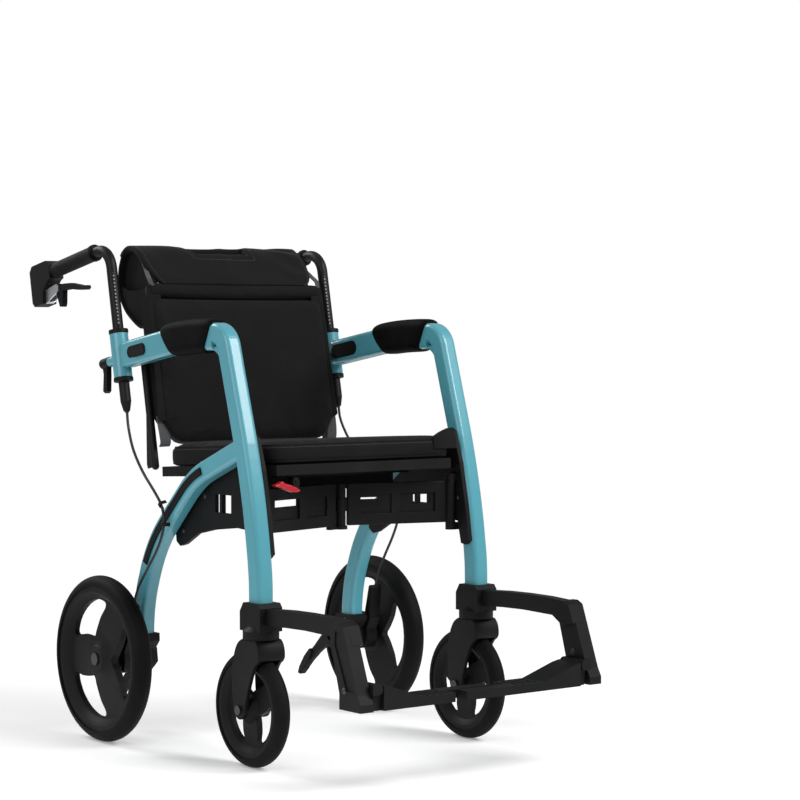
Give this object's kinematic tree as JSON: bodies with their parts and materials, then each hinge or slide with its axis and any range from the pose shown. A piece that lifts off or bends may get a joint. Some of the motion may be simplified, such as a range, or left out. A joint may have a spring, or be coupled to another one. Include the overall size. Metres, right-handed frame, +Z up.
{
  "type": "rollator transport chair",
  "caption": "Folding rollator that turns into a transport chair, with bent side frames, swivelling height-set brake handles, caster wheels, padded seat and back, and flip-up footrests.",
  "frame": {"origin": "Middle of the bounding box on the floor.", "axes": "+Z is up, -Y is the way the sitter faces and +X is the sitter's left."},
  "size_m": [0.65, 1.072, 0.9028],
  "materials": {
    "blue_paint": "gloss",
    "black_plastic": "satin",
    "black_metal": "satin",
    "rubber": "matte",
    "tyre": "matte",
    "steel": "satin",
    "alloy": "satin",
    "cloth": "woven",
    "red_plastic": "gloss"
  },
  "bodies": {
    "right_side": {"right_side_frame": "blue_paint", "right_slot_covers": "black_plastic", "right_armrest_pad": "rubber", "right_gusset": "black_plastic", "right_caster_housing": "black_plastic", "right_rear_bracket": "black_plastic", "right_rear_axle": "steel", "right_kerb_lever": "black_plastic", "right_brake_cable": "rubber", "right_handle_clamp": "blue_paint", "right_footrest": "black_plastic", "right_back_upright": "black_metal", "back_panel": "cloth"},
    "right_swivel": {"right_swivel_bush": "black_plastic"},
    "right_handle": {"right_handle_tube": "black_metal", "right_handle_grip": "rubber", "right_lever_housing": "black_plastic", "right_lever_bracket": "alloy"},
    "right_lever": {"right_brake_lever": "black_plastic"},
    "right_brake": {"right_brake_arm": "black_plastic"},
    "right_clamp": {"right_clamp_lever": "black_plastic"},
    "right_wheel": {"right_rear_rim": "black_plastic", "right_rear_tyre": "tyre"},
    "right_caster": {"right_caster_fork": "black_plastic", "right_caster_axle": "steel"},
    "right_caster_wheel": {"right_caster_rim": "black_plastic", "right_caster_tyre": "tyre"},
    "right_plate": {"right_footplate": "black_plastic"},
    "right_panel": {"right_fold_panel": "black_plastic"},
    "left_side": {"left_side_frame": "blue_paint", "left_slot_covers": "black_plastic", "left_armrest_pad": "rubber", "left_gusset": "black_plastic", "left_caster_housing": "black_plastic", "left_rear_bracket": "black_plastic", "left_rear_axle": "steel", "left_kerb_lever": "black_plastic", "left_brake_cable": "rubber", "left_handle_clamp": "blue_paint", "left_footrest": "black_plastic", "left_back_upright": "black_metal"},
    "left_swivel": {"left_swivel_bush": "black_plastic"},
    "left_handle": {"left_handle_tube": "black_metal", "left_handle_grip": "rubber", "left_lever_housing": "black_plastic", "left_lever_bracket": "alloy"},
    "left_lever": {"left_brake_lever": "black_plastic"},
    "left_brake": {"left_brake_arm": "black_plastic"},
    "left_clamp": {"left_clamp_lever": "black_plastic"},
    "left_wheel": {"left_rear_rim": "black_plastic", "left_rear_tyre": "tyre"},
    "left_caster": {"left_caster_fork": "black_plastic", "left_caster_axle": "steel"},
    "left_caster_wheel": {"left_caster_rim": "black_plastic", "left_caster_tyre": "tyre"},
    "left_plate": {"left_footplate": "black_plastic"},
    "left_panel": {"left_fold_panel": "black_plastic"},
    "seat": {"seat_board": "black_plastic", "seat_cushion": "cloth"},
    "release": {"release_lever": "red_plastic"}
  },
  "joints": [
    {"name": "frame_fold", "type": "hinge", "parent": "left_panel", "child": "left_side", "pos_m": [0.205, -0.19003, 0.432], "axis": [0, 0, 1], "range_deg": [0, 58.5], "deforming": ["back_panel", "seat_cushion"]},
    {"name": "right_panel_hinge", "type": "hinge", "parent": "right_side", "child": "right_panel", "pos_m": [-0.205, -0.19003, 0.432], "axis": [0, 0, 1], "range_deg": [0, 58.5]},
    {"name": "centre_hinge", "type": "hinge", "parent": "right_panel", "child": "left_panel", "pos_m": [0, -0.13303, 0.432], "axis": [0, 0, 1], "range_deg": [-117, 0]},
    {"name": "seat_flip", "type": "hinge", "parent": "left_side", "child": "seat", "pos_m": [0.195, -0.13003, 0.497], "axis": [0, 0.9986, -0.0523], "range_deg": [0, 88]},
    {"name": "release_pull", "type": "hinge", "parent": "seat", "child": "release", "pos_m": [-0.157, -0.21281, 0.48431], "axis": [0, -0.9986, 0.0523], "range_deg": [0, 18], "stiffness_Nm_per_rad": 0.1, "springref_deg": -11.46},
    {"name": "right_handle_swivel", "type": "hinge", "parent": "right_side", "child": "right_swivel", "pos_m": [-0.2395, 0.22117, 0.7], "axis": [0, 0.1942, 0.981], "range_deg": [0, 180]},
    {"name": "right_handle_height", "type": "slide", "parent": "right_swivel", "child": "right_handle", "axis": [0, 0.1942, 0.981], "range_m": [-0.1, 0.05], "deforming": ["right_brake_cable"]},
    {"name": "right_lever_squeeze", "type": "hinge", "parent": "right_handle", "child": "right_lever", "pos_m": [-0.2395, 0.44529, 0.82281], "axis": [-1, 0, 0], "range_deg": [0, 14], "stiffness_Nm_per_rad": 0.6, "springref_deg": -5.73},
    {"name": "right_brake_swing", "type": "hinge", "parent": "right_side", "child": "right_brake", "pos_m": [-0.273, 0.13597, 0.186], "axis": [1, 0, 0], "range_deg": [0, 2.4]},
    {"name": "right_clamp_turn", "type": "hinge", "parent": "right_side", "child": "right_clamp", "pos_m": [-0.2395, 0.27062, 0.68205], "axis": [0, 0.981, -0.1942], "range_deg": [0, 90]},
    {"name": "right_wheel_spin", "type": "hinge", "parent": "right_side", "child": "right_wheel", "pos_m": [-0.306, 0.17597, 0.15], "axis": [1, 0, 0], "continuous": true},
    {"name": "right_caster_swivel", "type": "hinge", "parent": "right_side", "child": "right_caster", "pos_m": [-0.236, -0.22619, 0.235], "axis": [0, 0, 1], "continuous": true},
    {"name": "right_caster_spin", "type": "hinge", "parent": "right_caster", "child": "right_caster_wheel", "pos_m": [-0.236, -0.20019, 0.1], "axis": [1, 0, 0], "continuous": true},
    {"name": "right_plate_flip", "type": "hinge", "parent": "right_side", "child": "right_plate", "pos_m": [-0.222, -0.50753, 0.172], "axis": [0, -1, 0], "range_deg": [0, 88]},
    {"name": "left_handle_swivel", "type": "hinge", "parent": "left_side", "child": "left_swivel", "pos_m": [0.2395, 0.22117, 0.7], "axis": [0, -0.1942, -0.981], "range_deg": [0, 180]},
    {"name": "left_handle_height", "type": "slide", "parent": "left_swivel", "child": "left_handle", "axis": [0, 0.1942, 0.981], "range_m": [-0.1, 0.05], "deforming": ["left_brake_cable"]},
    {"name": "left_lever_squeeze", "type": "hinge", "parent": "left_handle", "child": "left_lever", "pos_m": [0.2395, 0.44529, 0.82281], "axis": [-1, 0, 0], "range_deg": [0, 14], "stiffness_Nm_per_rad": 0.6, "springref_deg": -5.73},
    {"name": "left_brake_swing", "type": "hinge", "parent": "left_side", "child": "left_brake", "pos_m": [0.273, 0.13597, 0.186], "axis": [1, 0, 0], "range_deg": [0, 2.4]},
    {"name": "left_clamp_turn", "type": "hinge", "parent": "left_side", "child": "left_clamp", "pos_m": [0.2395, 0.27062, 0.68205], "axis": [0, -0.981, 0.1942], "range_deg": [0, 90]},
    {"name": "left_wheel_spin", "type": "hinge", "parent": "left_side", "child": "left_wheel", "pos_m": [0.306, 0.17597, 0.15], "axis": [1, 0, 0], "continuous": true},
    {"name": "left_caster_swivel", "type": "hinge", "parent": "left_side", "child": "left_caster", "pos_m": [0.236, -0.22619, 0.235], "axis": [0, 0, 1], "continuous": true},
    {"name": "left_caster_spin", "type": "hinge", "parent": "left_caster", "child": "left_caster_wheel", "pos_m": [0.236, -0.20019, 0.1], "axis": [1, 0, 0], "continuous": true},
    {"name": "left_plate_flip", "type": "hinge", "parent": "left_side", "child": "left_plate", "pos_m": [0.222, -0.50753, 0.172], "axis": [0, 1, 0], "range_deg": [0, 88]}
  ],
  "couplings": [
    {"joint": "right_panel_hinge", "follows": "frame_fold", "ratio": 1},
    {"joint": "centre_hinge", "follows": "frame_fold", "ratio": -2},
    {"joint": "seat_flip", "follows": "frame_fold", "ratio": 1.5043},
    {"joint": "right_brake_swing", "follows": "right_lever_squeeze", "ratio": 0.1714},
    {"joint": "right_plate_flip", "follows": "frame_fold", "ratio": 1.5043},
    {"joint": "left_brake_swing", "follows": "left_lever_squeeze", "ratio": 0.1714},
    {"joint": "left_plate_flip", "follows": "frame_fold", "ratio": 1.5043}
  ]
}
